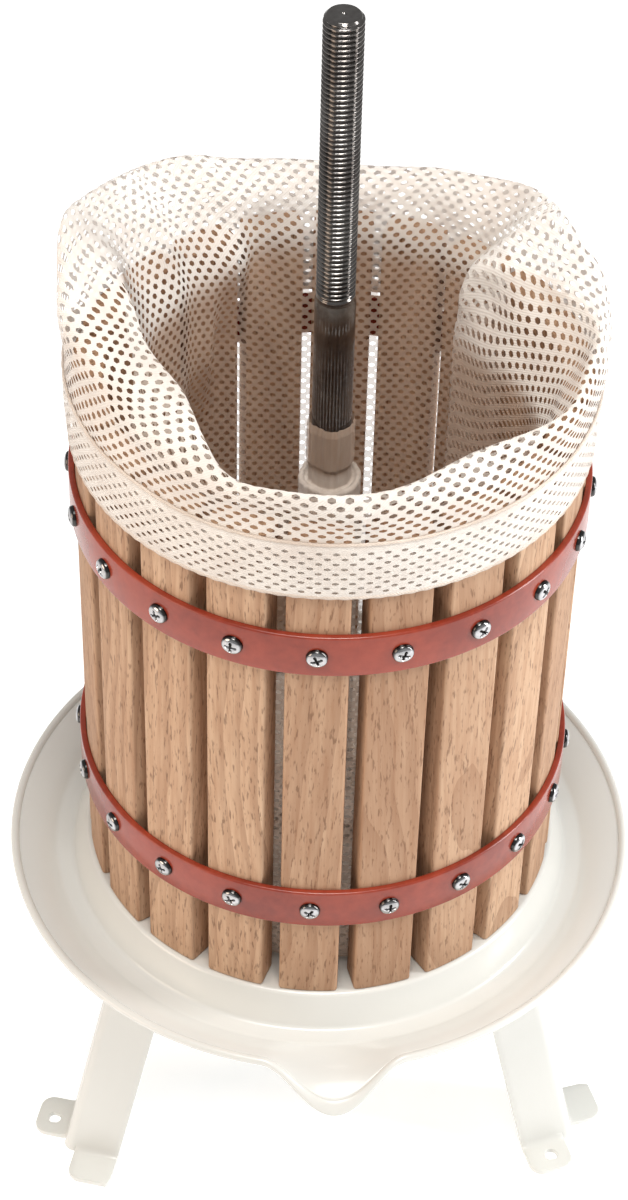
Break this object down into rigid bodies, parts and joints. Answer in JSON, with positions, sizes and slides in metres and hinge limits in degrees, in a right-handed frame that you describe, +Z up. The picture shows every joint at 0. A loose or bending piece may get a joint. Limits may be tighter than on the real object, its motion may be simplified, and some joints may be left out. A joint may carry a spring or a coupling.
{
  "type": "apple cider press",
  "caption": "Small fruit press: slatted wooden basket lined with a mesh bag on a dished tray with a spout, carried by splayed folded legs round a fixed central screw.",
  "frame": {"origin": "on the floor under the axis of the press screw, at the centre of the circle of foot holes", "axes": "+Z up along the press screw, -Y towards the spout, +X to the right seen from the spout"},
  "size_m": [0.325, 0.3457, 0.6755],
  "materials": {
    "steamed_beech": "bare planed beech, matte",
    "hoop_paint": "red-brown satin paint",
    "bright_screws": "bright plated",
    "white_enamel": "off-white gloss powder coat",
    "zinc_plate": "zinc plated",
    "bright_steel": "polished, dark in the thread",
    "bag_nylon": "white knitted nylon mesh"
  },
  "bodies": {
    "stand": {"tray": "white_enamel", "bearer": "white_enamel", "leg_front_left": "white_enamel", "leg_front_right": "white_enamel", "leg_rear": "white_enamel", "leg_bolts": "zinc_plate", "leg_washers": "zinc_plate", "press_screw": "bright_steel", "upper_washer": "zinc_plate", "upper_nut": "zinc_plate", "lower_washer": "zinc_plate", "lower_nut": "zinc_plate", "lock_nut": "zinc_plate"},
    "basket": {"stave_01": "steamed_beech", "stave_02": "steamed_beech", "stave_03": "steamed_beech", "stave_04": "steamed_beech", "stave_05": "steamed_beech", "stave_06": "steamed_beech", "stave_07": "steamed_beech", "stave_08": "steamed_beech", "stave_09": "steamed_beech", "stave_10": "steamed_beech", "stave_11": "steamed_beech", "stave_12": "steamed_beech", "stave_13": "steamed_beech", "stave_14": "steamed_beech", "stave_15": "steamed_beech", "stave_16": "steamed_beech", "stave_17": "steamed_beech", "stave_18": "steamed_beech", "stave_19": "steamed_beech", "stave_20": "steamed_beech", "upper_hoop": "hoop_paint", "lower_hoop": "hoop_paint", "upper_hoop_screws": "bright_screws", "lower_hoop_screws": "bright_screws"},
    "bag": {"press_bag": "bag_nylon"}
  },
  "joints": [
    {"name": "basket_lift", "type": "slide", "parent": "stand", "child": "basket", "axis": [0, 0, 1], "range_m": [0, 0.52]},
    {"name": "bag_lift", "type": "slide", "parent": "basket", "child": "bag", "axis": [0, 0, 1], "range_m": [0, 0.5]}
  ]
}
